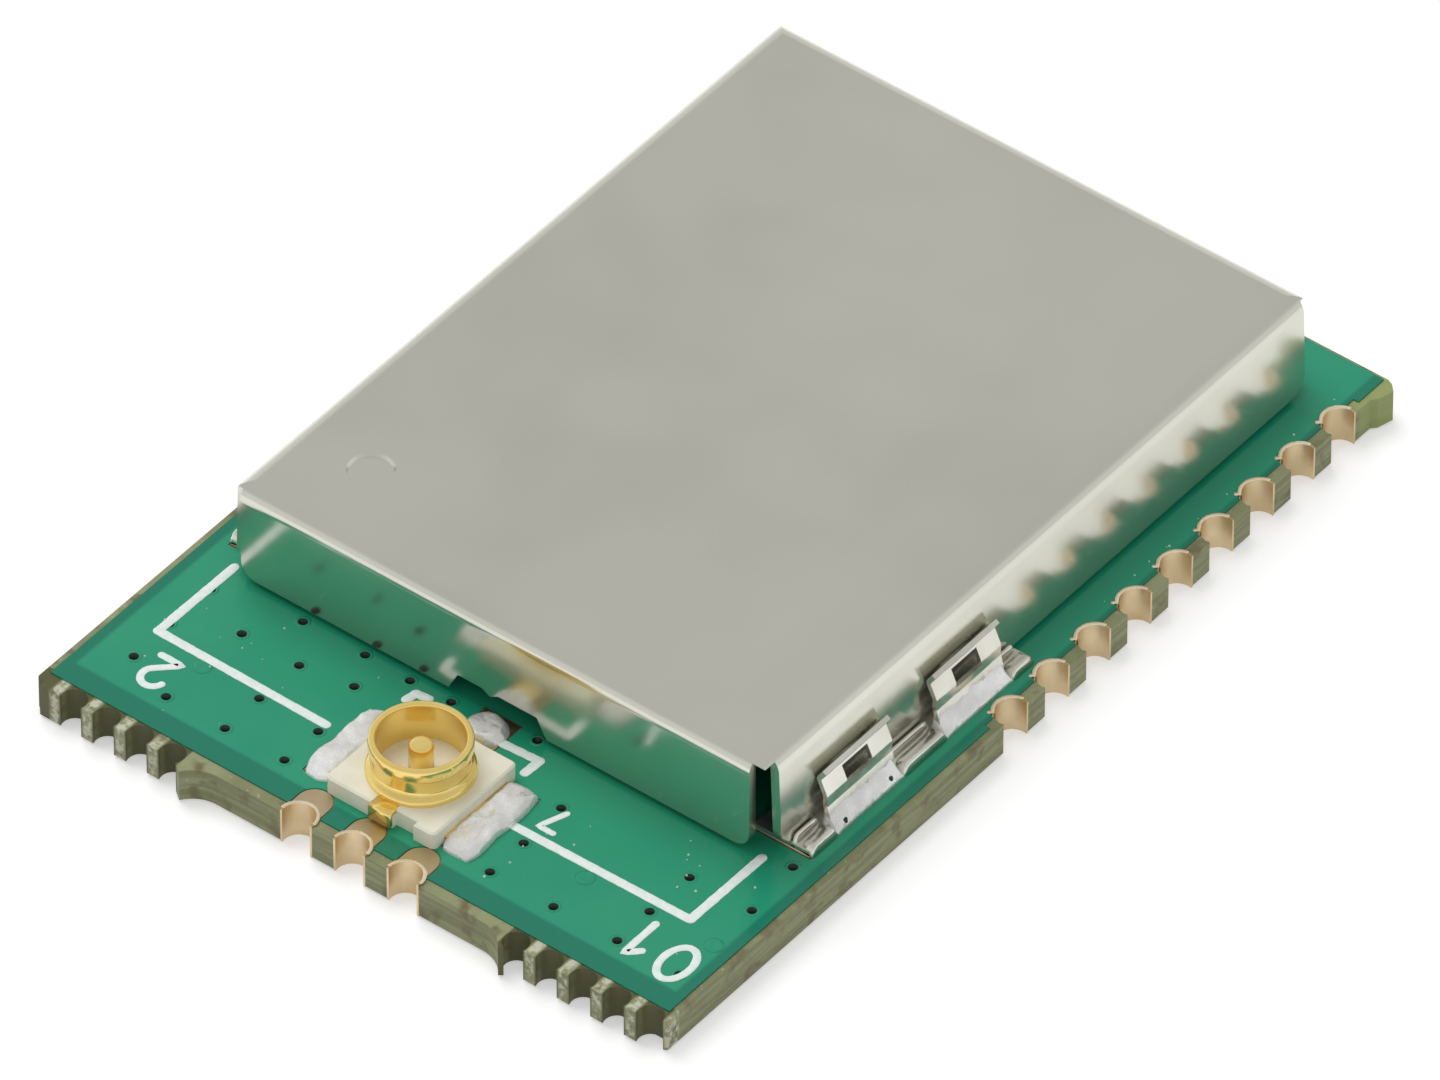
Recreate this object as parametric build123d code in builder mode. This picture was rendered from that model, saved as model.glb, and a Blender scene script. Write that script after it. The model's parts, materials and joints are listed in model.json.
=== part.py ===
"""A radio module for surface mounting: a small green circuit board with plated half holes along three
edges, a folded shield can held in two spring clips, and a micro coaxial receptacle at the front.

Millimetres. +Z is up, +X runs along the short side and +Y along the long side, away from the
receptacle. The origin is the centre of the board's underside.
"""

import os

from build123d import *

os.makedirs("parts", exist_ok=True)

# Board
board_width = 15.0
board_length = 22.2
board_thickness = 0.8
foil = 0.03
corner_radius = 0.08
mask_margin = 0.13
mask_margin_front = 0.25
mask_margin_rows = 0.25
mask_clearance = 0.03

# Break-away edge at the front
cusp_spread = 3.8
cusp_run = 0.6
cusp_reach = 0.34
cusp_curve = 0.75
tooth_reach = 0.14
tooth_end = 7.32
bite_radius = 0.27
bite_depth = 0.03
bite_pitch = 0.79
bites_right = 5
bites_left = 4
first_bite_right = 3.99
first_bite_left = -4.2

# Scar of the broken tab at the far right corner
scar_reach = 0.2
scar_length = 0.55

# Plated half holes
row_pitch = 1.27
row_count = 9
row_back_inset = 1.5
front_count = 3
hole_radius = 0.34
hole_inset = 0.08
plating = 0.06
drill_sides = 12
peel_x = 0.22
peel_y = 0.28
pad_width = 0.7
front_pad_reach = 0.9
under_pad_reach = 1.0

# Silkscreen
ink = 0.015
ink_width = 0.18
corner_mark_inset = 1.02
corner_mark_height = 2.25
corner_mark_base = 2.36
left_mark_gap = 0.53
right_mark_gap = 0.17
right_mark_inset = 1.31
key_mark_gap = 0.5
key_mark_leg = 0.85
key_mark_drop = 0.48

# Shield can
sheet = 0.2
can_side_gap = 1.14
can_front_gap = 4.43
can_back_gap = 1.08
can_offset = -0.015
can_height = 2.23
can_splay = 0.08
can_bend = 0.35
slit_relief = 0.015
wide_slit_relief = 0.19
slit_top_gap = 0.1
wall_corner_radius = 0.38
notch_width = 2.33
notch_height = 0.44
notch_slope = 0.22
notch_tooth_offset = -0.17
notch_tooth_width = 0.38
notch_tooth_depth = 0.12
notch_rounding = 0.05
dimple_side = 1.84
dimple_front = 1.9
dimple_width = 0.95
dimple_depth = 0.06
dimple_rim = 0.05

# Shield clips
clip_sheet = 0.1
solder_film = 0.02
clip_clearance = 0.02
clip_front_gap = 0.64
clip_length = 6.73
clip_inner = 0.85
clip_outer = 0.46
frame_width = 1.96
frame_first = 0.81
frame_second = 4.12
frame_relief = 0.08
frame_relief_depth = 0.3
frame_height = 1.24
pinch_height = 1.04
frame_bow = 0.16
frame_foot_bow = 0.28
frame_flare = 0.13
frame_bend = 0.1
window_width = 0.76
window_height = 0.36
window_rise = 0.42
finger_width = 1.3
finger_height = 1.0
finger_pinch = 0.8
finger_bow = 0.18
finger_root = 0.4
clip_pad_margin = 0.02
fillet_length = 1.5
fillet_root = 0.06
fillet_rise = 0.2

# Micro coaxial receptacle
receptacle_inset = 2.15
housing_width = 2.6
housing_length = 2.5
housing_height = 0.4
housing_rounding = 0.12
housing_edge = 0.04
housing_recess_width = 0.5
housing_recess_depth = 0.12
ring_radius = 1.0
ring_bore = 0.85
ring_height = 0.85
ring_band = 0.22
rim_chamfer = 0.055
ring_waist = 0.93
skirt_radius = 1.06
skirt_height = 0.09
contact_sheet = 0.1
contact_lift = 0.05
flange_bore = 0.7
tail_opening = 0.8
wing_reach = 0.58
wing_length = 1.85
tab_width = 0.5
tab_offset = 0.06
pin_radius = 0.2425
pin_height = 0.7
pin_rounding = 0.1
tail_width = 0.5
tail_reach = 0.55
wing_solder_gap = 0.03
wing_solder_margin = 0.1
wing_solder_film = 0.025
wing_solder_taper = 25.0
ground_pad_overlap = 0.25
signal_pad_width = 0.84
signal_pad_length = 1.15
signal_solder_radius = 0.36
signal_solder_height = 0.2

# Parts inside the can
land_height = 0.03
land_margin = 0.08
chip_size = 4.0
chip_height = 0.85
chip_x = 0.3
chip_share = 0.56
lead_count = 6
lead_pitch = 0.5
lead_width = 0.25
lead_length = 0.4
lead_height = 0.2
thermal_pad = 2.6
crystal_length = 3.2
crystal_width = 2.5
crystal_base_height = 0.45
crystal_lid_height = 0.25
crystal_lid_margin = 0.2
crystal_side_share = 0.573
crystal_back_gap = 3.3
crystal_pad_length = 1.0
crystal_pad_width = 0.8
part_length = 1.0
part_width = 0.5
terminal_length = 0.25
capacitor_height = 0.5
inductor_height = 0.55
resistor_height = 0.35
chain_count = 3
chain_share = 0.348
chain_pitch_share = 0.1026
shunt_offset = 1.2
bypass_pitch = 1.5
bypass_count = 3
bypass_offset = 3.6
bias_pitch = 1.4
bias_count = 3
bias_back_gap = 2.3
bias_x = 0.6
load_gap = 0.75

# Places worked out from the sizes above
half_width = board_width / 2
half_length = board_length / 2
copper_top = board_thickness - foil
drill_radius = hole_radius + plating
row_x = half_width - hole_inset
row_places = [half_length - row_back_inset - k * row_pitch for k in range(row_count)]
front_y = -half_length
front_places = [(k - (front_count - 1) / 2) * row_pitch for k in range(front_count)]
rows_low = row_places[-1] - row_pitch / 2
rows_high = row_places[0] + row_pitch / 2

clip_base_z = board_thickness + solder_film
foot_z = clip_base_z + clip_sheet
can_top = foot_z + can_height
can_back = half_length - can_back_gap
can_front = -half_length + can_front_gap
can_length = can_back - can_front
can_width = board_width - 2 * can_side_gap
half_can = can_width / 2
half_foot = half_can + can_splay

clip_start = can_front + clip_front_gap
clip_end = clip_start + clip_length
clip_inner_x = half_foot - clip_inner
clip_outer_x = half_foot + clip_outer
clip_middle_x = (clip_inner_x + clip_outer_x) / 2
clip_middle_y = (clip_start + clip_end) / 2

receptacle_y = front_y + receptacle_inset
housing_front = receptacle_y - housing_length / 2
housing_back = receptacle_y + housing_length / 2
housing_top = board_thickness + housing_height
contact_z = board_thickness + contact_lift
ring_top = housing_top + ring_height
wing_end = housing_width / 2 + wing_reach
tail_end = housing_back + tail_reach

part_seat = board_thickness + land_height
chip_y = can_front + chip_share * can_length
crystal_x = -crystal_side_share * half_can
crystal_y = can_back - crystal_back_gap
bias_y = can_back - bias_back_gap
chain_start = can_front + chain_share * can_length
chain_pitch = chain_pitch_share * can_length

frame_starts = [clip_start + frame_first, clip_start + frame_second]
finger_start = (frame_starts[0] + frame_width + frame_starts[1] - finger_width) / 2


def wall_x(height):
    """How far the can's outer side face stands from the can's middle, at a height above the foot."""
    return half_foot - can_splay * height / can_height


# Board outline without its half holes: a rectangle, the strips that broke away, and the corner scar
with BuildSketch() as board_outline:
    Rectangle(board_width, board_length)
    fillet(board_outline.vertices(), corner_radius)
    for side in (-1, 1):
        root = (side * (cusp_spread - cusp_run), front_y)
        tip = (side * cusp_spread, front_y - cusp_reach)
        with BuildLine():
            RadiusArc(root, tip, side * cusp_curve)
            Polyline(
                tip,
                (side * (cusp_spread + bite_radius), front_y - tooth_reach),
                (side * tooth_end, front_y - tooth_reach),
                (side * tooth_end, front_y + bite_radius),
                (side * (cusp_spread - cusp_run), front_y + bite_radius),
                root,
            )
        make_face()
    with BuildLine():
        Polyline(
            (half_width - corner_radius, half_length - corner_radius),
            (half_width - scar_reach / 2, half_length),
            (half_width + scar_reach / 4, half_length - scar_reach / 4),
            (half_width + scar_reach, half_length - scar_reach),
            (half_width + scar_reach / 2, half_length - scar_length),
            (half_width - corner_radius, half_length - scar_length - scar_reach),
            close=True,
        )
    make_face()
    right_bites = [(first_bite_right + k * bite_pitch, front_y - bite_depth) for k in range(bites_right)]
    left_bites = [(first_bite_left - k * bite_pitch, front_y - bite_depth) for k in range(bites_left)]
    with Locations(*right_bites, *left_bites):
        Circle(bite_radius, mode=Mode.SUBTRACT)

# The middles of all the half holes
side_holes = [(side * row_x, y) for side in (-1, 1) for y in row_places]
front_holes = [(x, front_y + hole_inset) for x in front_places]

# The drilled walls are twelve-sided where the plating hides them; the bare holes in it are round
with BuildPart() as pcb_laminate:
    with BuildSketch(Plane.XY.offset(foil)):
        add(board_outline.sketch)
        with Locations(*side_holes, *front_holes):
            RegularPolygon(drill_radius, drill_sides, mode=Mode.SUBTRACT)
    extrude(amount=board_thickness - 2 * foil)
pcb_laminate.part.label = "pcb_laminate"
export_step(pcb_laminate.part, "parts/pcb_laminate.step")


def plated_row(side):
    """One long edge's plated half holes, with their solder pads below.

    The router peeled the copper back on the front flank of each.
    """
    places = [(side * row_x, y) for y in row_places]
    peels = [(side * (row_x - peel_x), y - peel_y) for y in row_places]
    peel_corner = (Align.MIN if side > 0 else Align.MAX, Align.MAX)
    with BuildPart() as row:
        for depth in (board_thickness, foil):
            with BuildSketch():
                with Locations(*places):
                    RegularPolygon(drill_radius, drill_sides)
                if depth == foil:
                    with Locations(*[(side * half_width, y) for y in row_places]):
                        Rectangle(2 * under_pad_reach, pad_width)
                with Locations(*places):
                    Circle(hole_radius, mode=Mode.SUBTRACT)
                Rectangle(board_width, board_length, mode=Mode.INTERSECT)
                with Locations(*peels):
                    Rectangle(drill_radius, drill_radius, align=peel_corner, mode=Mode.SUBTRACT)
            extrude(amount=depth)
    return row.part


castellations_right = plated_row(1)
castellations_right.label = "castellations_right"
export_step(castellations_right, "parts/castellations_right.step")

castellations_left = plated_row(-1)
castellations_left.label = "castellations_left"
export_step(castellations_left, "parts/castellations_left.step")

# The same at the front edge, with long pads on both sides of the board, round-ended on top
with BuildPart() as castellations_front:
    for level, depth in ((0, board_thickness), (0, foil), (copper_top, foil)):
        with BuildSketch(Plane.XY.offset(level)):
            with Locations(*front_holes):
                RegularPolygon(drill_radius, drill_sides)
            with Locations(*[(x, front_y) for x in front_places]):
                if level == copper_top:
                    SlotOverall(2 * front_pad_reach, pad_width, rotation=90)
                elif depth == foil:
                    Rectangle(pad_width, 2 * front_pad_reach)
            with Locations(*front_holes):
                Circle(hole_radius, mode=Mode.SUBTRACT)
            Rectangle(board_width, board_length, mode=Mode.INTERSECT)
        extrude(amount=depth)
castellations_front.part.label = "castellations_front"
export_step(castellations_front.part, "parts/castellations_front.step")

# Copper pads that lie flush with the top mask
with BuildSketch() as clip_pad_outline:
    pad_span = clip_outer_x - clip_inner_x + 2 * clip_pad_margin
    for side in (-1, 1):
        with Locations((can_offset + side * clip_middle_x, clip_middle_y)):
            Rectangle(pad_span, clip_length + 2 * clip_pad_margin)

with BuildPart() as clip_pads:
    with BuildSketch(Plane.XY.offset(copper_top)):
        add(clip_pad_outline.sketch)
    extrude(amount=foil)
clip_pads.part.label = "clip_pads"
export_step(clip_pads.part, "parts/clip_pads.step")

with BuildSketch() as receptacle_pad_outline:
    ground_pad_span = wing_reach + wing_solder_margin + ground_pad_overlap
    ground_pad_x = housing_width / 2 - ground_pad_overlap + ground_pad_span / 2
    for side in (-1, 1):
        with Locations((side * ground_pad_x, receptacle_y)):
            Rectangle(ground_pad_span, wing_length + 2 * wing_solder_margin)
    with Locations((tab_offset, tail_end)):
        Rectangle(signal_pad_width, signal_pad_length)

with BuildPart() as receptacle_pads:
    with BuildSketch(Plane.XY.offset(copper_top)):
        add(receptacle_pad_outline.sketch)
    extrude(amount=foil)
receptacle_pads.part.label = "receptacle_pads"
export_step(receptacle_pads.part, "parts/receptacle_pads.step")

# Solder mask: on top it keeps clear of the board's edge and of every pad
mask_back = half_length - mask_margin / 2
mask_front = front_y + mask_margin_front
with BuildPart() as solder_mask_top:
    with BuildSketch(Plane.XY.offset(copper_top)):
        with Locations((0, (mask_front + mask_back) / 2)):
            Rectangle(board_width - 2 * mask_margin, mask_back - mask_front)
        row_margin = mask_margin_rows - mask_margin
        for side in (-1, 1):
            with Locations((side * (half_width - mask_margin), (rows_low + rows_high) / 2)):
                Rectangle(2 * row_margin, rows_high - rows_low, mode=Mode.SUBTRACT)
        with Locations(*side_holes):
            RegularPolygon(drill_radius + mask_clearance, drill_sides, mode=Mode.SUBTRACT)
        with Locations(*[(x, front_y) for x in front_places]):
            SlotOverall(
                2 * (front_pad_reach + mask_clearance),
                pad_width + 2 * mask_clearance,
                rotation=90,
                mode=Mode.SUBTRACT,
            )
        for pads in (clip_pad_outline, receptacle_pad_outline):
            offset(pads.sketch, amount=mask_clearance, kind=Kind.INTERSECTION, mode=Mode.SUBTRACT)
    extrude(amount=foil)
solder_mask_top.part.label = "solder_mask_top"
export_step(solder_mask_top.part, "parts/solder_mask_top.step")

# Below, one wide opening leaves each long row of pads bare, and the front pads have slots
with BuildPart() as solder_mask_bottom:
    with BuildSketch():
        Rectangle(board_width - 2 * mask_margin, board_length - 2 * mask_margin_front)
        open_span = under_pad_reach + mask_clearance
        for side in (-1, 1):
            with Locations((side * half_width, (rows_low + rows_high) / 2)):
                Rectangle(2 * open_span, rows_high - rows_low, mode=Mode.SUBTRACT)
        with Locations(*[(x, front_y) for x in front_places]):
            Rectangle(
                pad_width + 2 * mask_clearance,
                2 * (front_pad_reach + mask_clearance),
                mode=Mode.SUBTRACT,
            )
    extrude(amount=foil)
solder_mask_bottom.part.label = "solder_mask_bottom"
export_step(solder_mask_bottom.part, "parts/solder_mask_bottom.step")


# Silkscreen: two corner marks and the receptacle's key mark
mark_base_y = front_y + corner_mark_base
mark_top_y = mark_base_y + corner_mark_height
left_mark_x = -half_width + corner_mark_inset
right_mark_x = half_width - right_mark_inset
key_x = housing_width / 2 + ink_width / 4
key_y = housing_back + key_mark_gap
ink_lines = (
    [(left_mark_x, mark_top_y), (left_mark_x, mark_base_y), (-wing_end - left_mark_gap, mark_base_y)],
    [(wing_end + right_mark_gap, mark_base_y), (right_mark_x, mark_base_y), (right_mark_x, mark_top_y)],
    [(key_x - key_mark_leg, key_y), (key_x, key_y), (key_x, key_y - key_mark_drop)],
    [(-key_x - ink_width, key_y - ink_width), (-key_x - ink_width, key_y), (-key_x, key_y)],
)
with BuildPart() as silkscreen_lines:
    with BuildSketch(Plane.XY.offset(board_thickness)):
        for points in ink_lines:
            with BuildLine():
                Polyline(*points)
            trace(line_width=ink_width)
    extrude(amount=ink)
silkscreen_lines.part.label = "silkscreen_lines"
export_step(silkscreen_lines.part, "parts/silkscreen_lines.step")

# Shield can: one folded sheet with leaning side walls, open corners, a foot notch and a dimple
can_section = Plane(origin=(can_offset, can_front, 0), x_dir=(1, 0, 0), z_dir=(0, -1, 0))
dimple_x = can_offset - half_can + dimple_side
dimple_y = can_front + dimple_front
dimple_axis = Axis((dimple_x, dimple_y, 0), (0, 0, 1))
dimple_floor_radius = dimple_width / 2 - dimple_rim
corner_slits = [
    (-1, -1, sheet + slit_relief),
    (-1, 1, sheet + slit_relief),
    (1, 1, sheet + slit_relief),
    (1, -1, sheet + wide_slit_relief),
]
with BuildPart() as shield_can:
    with BuildSketch(can_section):
        with BuildLine():
            Polyline(
                (-half_foot, foot_z),
                (-half_can, can_top),
                (half_can, can_top),
                (half_foot, foot_z),
                close=True,
            )
        make_face()
    extrude(amount=-can_length)
    fillet(shield_can.edges().group_by(Axis.Z)[-1], can_bend)
    offset(amount=-sheet, openings=shield_can.faces().sort_by(Axis.Z)[0])
    for side, end, slit_side in corner_slits:
        slit_x = can_offset + side * (half_foot - (slit_side + can_splay) / 2)
        slit_y = (can_front + can_back + end * (can_length - slit_side)) / 2
        with Locations((slit_x, slit_y, foot_z)):
            Box(
                slit_side + can_splay,
                slit_side,
                can_height - slit_top_gap,
                align=(Align.CENTER, Align.CENTER, Align.MIN),
                mode=Mode.SUBTRACT,
            )
    foot_edges = shield_can.edges().group_by(Axis.Z)[0]
    fillet(foot_edges.filter_by(lambda edge: edge.length < 2 * sheet), wall_corner_radius)
    with BuildSketch(can_section):
        half_notch = notch_width / 2
        notch_top = foot_z + notch_height
        tooth_left = notch_tooth_offset - notch_tooth_width / 2
        tooth_right = notch_tooth_offset + notch_tooth_width / 2
        with BuildLine():
            Polyline(
                (-half_notch, foot_z - sheet),
                (-half_notch, foot_z),
                (-half_notch + notch_slope, notch_top),
                (tooth_left, notch_top),
                (notch_tooth_offset, notch_top - notch_tooth_depth),
                (tooth_right, notch_top),
                (half_notch - notch_slope, notch_top),
                (half_notch, foot_z),
                (half_notch, foot_z - sheet),
                close=True,
            )
        notch = make_face()
        fillet(notch.vertices().group_by(Axis.Z)[-2:], notch_rounding)
    extrude(amount=-2 * sheet, mode=Mode.SUBTRACT)
    for pressed_z, pressed_mode in ((can_top - sheet, Mode.ADD), (can_top, Mode.SUBTRACT)):
        with BuildSketch(Plane.XZ.offset(-dimple_y)):
            with BuildLine():
                Polyline(
                    (dimple_x, pressed_z),
                    (dimple_x + dimple_width / 2, pressed_z),
                    (dimple_x + dimple_floor_radius, pressed_z - dimple_depth),
                    (dimple_x, pressed_z - dimple_depth),
                    close=True,
                )
            make_face()
        revolve(axis=dimple_axis, mode=pressed_mode)
shield_can.part.label = "shield_can"
export_step(shield_can.part, "parts/shield_can.step")


# Shield clips: a flat strip with two window frames that spring against the can's outer face
# and one finger that backs the inner face between them
pinch_x = wall_x(pinch_height) + clip_sheet / 2 + clip_clearance
finger_x = wall_x(finger_pinch) - sheet - clip_sheet / 2 - clip_clearance


def clip_frame_line(side):
    """The middle line of an outer frame's section, from the strip up to the flared lip."""
    sheet_z = clip_base_z + clip_sheet / 2
    FilletPolyline(
        (side * (clip_outer_x - 2 * frame_relief_depth), sheet_z),
        (side * (pinch_x + frame_foot_bow), sheet_z),
        (side * (pinch_x + frame_bow), foot_z + window_rise),
        (side * (pinch_x + frame_bow), foot_z + pinch_height - window_height),
        (side * pinch_x, foot_z + pinch_height),
        (side * (pinch_x + frame_flare), foot_z + frame_height),
        radius=frame_bend,
    )


def clip_finger_line(side):
    """The middle line of the inner finger's section."""
    sheet_z = clip_base_z + clip_sheet / 2
    Polyline(
        (side * (clip_inner_x + finger_root), sheet_z),
        (side * (clip_inner_x + clip_sheet), sheet_z),
        (side * (finger_x - finger_bow), foot_z + finger_pinch / 2),
        (side * finger_x, foot_z + finger_pinch),
        (side * (finger_x - finger_bow / 2), foot_z + finger_height),
    )


def shield_clip(side):
    """One clip, on the right for side 1 and on the left for side -1."""
    with BuildPart() as clip:
        with BuildSketch(Plane.XY.offset(clip_base_z)):
            with Locations((can_offset + side * clip_middle_x, clip_middle_y)):
                Rectangle(clip_outer_x - clip_inner_x, clip_length)
            for start in frame_starts:
                with Locations((can_offset + side * clip_outer_x, start + frame_width / 2)):
                    Rectangle(2 * frame_relief_depth, frame_width + 2 * frame_relief, mode=Mode.SUBTRACT)
        extrude(amount=clip_sheet)
        for start in frame_starts:
            with BuildSketch(Plane(origin=(can_offset, start, 0), x_dir=(1, 0, 0), z_dir=(0, -1, 0))):
                with BuildLine():
                    clip_frame_line(side)
                trace(line_width=clip_sheet)
            extrude(amount=-frame_width)
            with Locations((can_offset + side * clip_outer_x, start + frame_width / 2, foot_z + window_rise)):
                Box(
                    2 * clip_outer,
                    window_width,
                    window_height,
                    align=(Align.CENTER, Align.CENTER, Align.MIN),
                    mode=Mode.SUBTRACT,
                )
        with BuildSketch(Plane(origin=(can_offset, finger_start, 0), x_dir=(1, 0, 0), z_dir=(0, -1, 0))):
            with BuildLine():
                clip_finger_line(side)
            trace(line_width=clip_sheet)
        extrude(amount=-finger_width)
    return clip.part


shield_clip_right = shield_clip(1)
shield_clip_right.label = "shield_clip_right"
export_step(shield_clip_right, "parts/shield_clip_right.step")

shield_clip_left = shield_clip(-1)
shield_clip_left.label = "shield_clip_left"
export_step(shield_clip_left, "parts/shield_clip_left.step")


# Solder under each clip: a thin film, and a fillet against the foot of each frame
def clip_joint(side, clip):
    """The solder of one clip, cut back by the clip that sits in it."""
    with BuildPart() as joint:
        with Locations((can_offset + side * clip_middle_x, clip_middle_y, board_thickness)):
            Box(
                clip_outer_x - clip_inner_x,
                clip_length,
                solder_film,
                align=(Align.CENTER, Align.CENTER, Align.MIN),
            )
        for start in frame_starts:
            middle = start + frame_width / 2
            with BuildSketch(Plane(origin=(can_offset, middle, 0), x_dir=(1, 0, 0), z_dir=(0, -1, 0))):
                with BuildLine():
                    Polyline(
                        (side * (pinch_x + frame_foot_bow - fillet_root), board_thickness),
                        (side * (clip_outer_x + clip_pad_margin), board_thickness),
                        (side * (pinch_x + frame_foot_bow - fillet_root / 2), board_thickness + fillet_rise),
                        close=True,
                    )
                make_face()
            extrude(amount=fillet_length / 2, both=True)
        add(clip, mode=Mode.SUBTRACT)
    return joint.part


clip_solder = Compound(children=[clip_joint(1, shield_clip_right), clip_joint(-1, shield_clip_left)])
clip_solder.label = "clip_solder"
export_step(clip_solder, "parts/clip_solder.step")

# Receptacle, outer contact: a rolled ring on an open flange, two soldered wings and a front tab
ring_axis = Axis((0, receptacle_y, 0), (0, 0, 1))
rim_middle = (ring_bore + ring_radius) / 2
band_low = ring_top - rim_chamfer - ring_band
waist_high = band_low - (ring_radius - ring_waist)
skirt_top = housing_top + skirt_height
with BuildPart() as receptacle_outer_contact:
    with BuildSketch(Plane.XZ.offset(-receptacle_y)):
        with BuildLine():
            Polyline(
                (ring_bore, contact_z),
                (ring_bore, ring_top - rim_chamfer),
                (ring_bore + rim_chamfer, ring_top),
                (ring_radius - rim_chamfer, ring_top),
                (ring_radius, ring_top - rim_chamfer),
                (ring_radius, band_low),
                (ring_waist, waist_high),
                (ring_waist, skirt_top + skirt_radius - ring_waist),
                (skirt_radius, skirt_top),
                (skirt_radius, contact_z),
                close=True,
            )
        make_face()
    revolve(axis=ring_axis)
    with BuildSketch(Plane.XY.offset(contact_z)):
        with Locations((0, receptacle_y)):
            Circle(skirt_radius)
            Rectangle(2 * wing_end, wing_length)
            Circle(flange_bore, mode=Mode.SUBTRACT)
    extrude(amount=contact_sheet)
    with Locations((0, receptacle_y, contact_z)):
        Box(
            tail_opening,
            2 * skirt_radius,
            housing_top - contact_z - contact_sheet / 2,
            align=(Align.CENTER, Align.MIN, Align.MIN),
            mode=Mode.SUBTRACT,
        )
    with Locations((tab_offset, receptacle_y - rim_middle, housing_top)):
        tab_run = housing_length / 2 - rim_middle + contact_sheet
        tab_align = (Align.CENTER, Align.MAX, Align.MAX)
        Box(tab_width, tab_run, contact_sheet, align=tab_align)
    with Locations((tab_offset, housing_front - contact_sheet, housing_top)):
        Box(
            tab_width,
            contact_sheet,
            housing_height - contact_lift,
            align=(Align.CENTER, Align.MIN, Align.MAX),
        )
    tab_edges = receptacle_outer_contact.edges().filter_by(Axis.X).group_by(Axis.Y)[0]
    fillet(tab_edges.sort_by(Axis.Z)[-1], contact_sheet * 0.8)
receptacle_outer_contact.part.label = "receptacle_outer_contact"
export_step(receptacle_outer_contact.part, "parts/receptacle_outer_contact.step")

# Receptacle, centre contact: a domed pin on a flat tail
with BuildPart() as receptacle_centre_contact:
    with Locations((0, receptacle_y, board_thickness)):
        Cylinder(pin_radius, housing_height + pin_height, align=(Align.CENTER, Align.CENTER, Align.MIN))
    chamfer(receptacle_centre_contact.edges().group_by(Axis.Z)[-1], 1.5 * pin_rounding, pin_rounding)
    with Locations((0, receptacle_y, board_thickness)):
        Box(
            tail_width,
            tail_end - receptacle_y,
            contact_sheet,
            align=(Align.CENTER, Align.MIN, Align.MIN),
        )
receptacle_centre_contact.part.label = "receptacle_centre_contact"
export_step(receptacle_centre_contact.part, "parts/receptacle_centre_contact.step")

# Receptacle housing, moulded around both contacts, with a recess beside the front tab
with BuildPart() as receptacle_housing:
    with BuildSketch(Plane.XY.offset(board_thickness)) as housing_plan:
        with Locations((0, receptacle_y)):
            Rectangle(housing_width, housing_length)
        fillet(housing_plan.vertices(), housing_rounding)
        with Locations((tab_offset + tab_width / 2, housing_front)):
            Rectangle(
                housing_recess_width,
                housing_recess_depth,
                align=(Align.MIN, Align.MIN),
                mode=Mode.SUBTRACT,
            )
    extrude(amount=housing_height)
    top_rim = receptacle_housing.faces().sort_by(Axis.Z)[-1].edges()
    chamfer(top_rim, housing_edge)
    add(receptacle_outer_contact.part, mode=Mode.SUBTRACT)
    add(receptacle_centre_contact.part, mode=Mode.SUBTRACT)
receptacle_housing.part.label = "receptacle_housing"
export_step(receptacle_housing.part, "parts/receptacle_housing.step")

# Solder on the wings: low mounds that cover them and taper to the pads
with BuildPart() as ground_solder:
    mound_start = housing_width / 2 + wing_solder_gap
    mound_height = contact_lift + contact_sheet + wing_solder_film
    mound_width = wing_reach - wing_solder_gap + wing_solder_margin
    mound_length = wing_length + 2 * wing_solder_margin
    for side in (-1, 1):
        with BuildSketch(Plane.XY.offset(board_thickness)):
            with Locations((side * (mound_start - mound_width / 2), receptacle_y)):
                Rectangle(3 * mound_width, mound_length)
        extrude(amount=mound_height, taper=wing_solder_taper)
    with Locations((0, receptacle_y, board_thickness)):
        Box(
            2 * mound_start,
            2 * mound_length,
            2 * mound_height,
            align=(Align.CENTER, Align.CENTER, Align.MIN),
            mode=Mode.SUBTRACT,
        )
    add(receptacle_outer_contact.part, mode=Mode.SUBTRACT)
ground_solder.part.label = "ground_solder"
export_step(ground_solder.part, "parts/ground_solder.step")

# Solder on the tail: one dome over its end
with BuildPart() as signal_solder:
    with BuildSketch(Plane.XZ.offset(-tail_end)):
        with BuildLine():
            dome_top = (tab_offset, board_thickness + signal_solder_height)
            dome_rim = (tab_offset + signal_solder_radius, board_thickness)
            TangentArc(dome_top, dome_rim, tangent=(1, 0))
            Polyline(dome_rim, (tab_offset, board_thickness), dome_top)
        make_face()
    revolve(axis=Axis((tab_offset, tail_end, 0), (0, 0, 1)))
    add(receptacle_centre_contact.part, mode=Mode.SUBTRACT)
signal_solder.part.label = "signal_solder"
export_step(signal_solder.part, "parts/signal_solder.step")

# Radio chip: a square leadless package. Its leads and thermal pad lie flush in its underside.
rest = (Align.CENTER, Align.CENTER, Align.MIN)
lead_row = chip_size / 2 - lead_length / 2
with BuildPart() as radio_chip_leads:
    with Locations((chip_x, chip_y, board_thickness)):
        with GridLocations(lead_pitch, 2 * lead_row, lead_count, 2):
            Box(lead_width, lead_length, land_height + lead_height, align=rest)
        with GridLocations(2 * lead_row, lead_pitch, 2, lead_count):
            Box(lead_length, lead_width, land_height + lead_height, align=rest)
        Box(thermal_pad, thermal_pad, land_height + lead_height, align=rest)
radio_chip_leads.part.label = "radio_chip_leads"
export_step(radio_chip_leads.part, "parts/radio_chip_leads.step")

with BuildPart() as radio_chip:
    with Locations((chip_x, chip_y, part_seat)):
        Box(chip_size, chip_size, chip_height, align=rest)
    add(radio_chip_leads.part, mode=Mode.SUBTRACT)
radio_chip.part.label = "radio_chip"
export_step(radio_chip.part, "parts/radio_chip.step")

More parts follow.
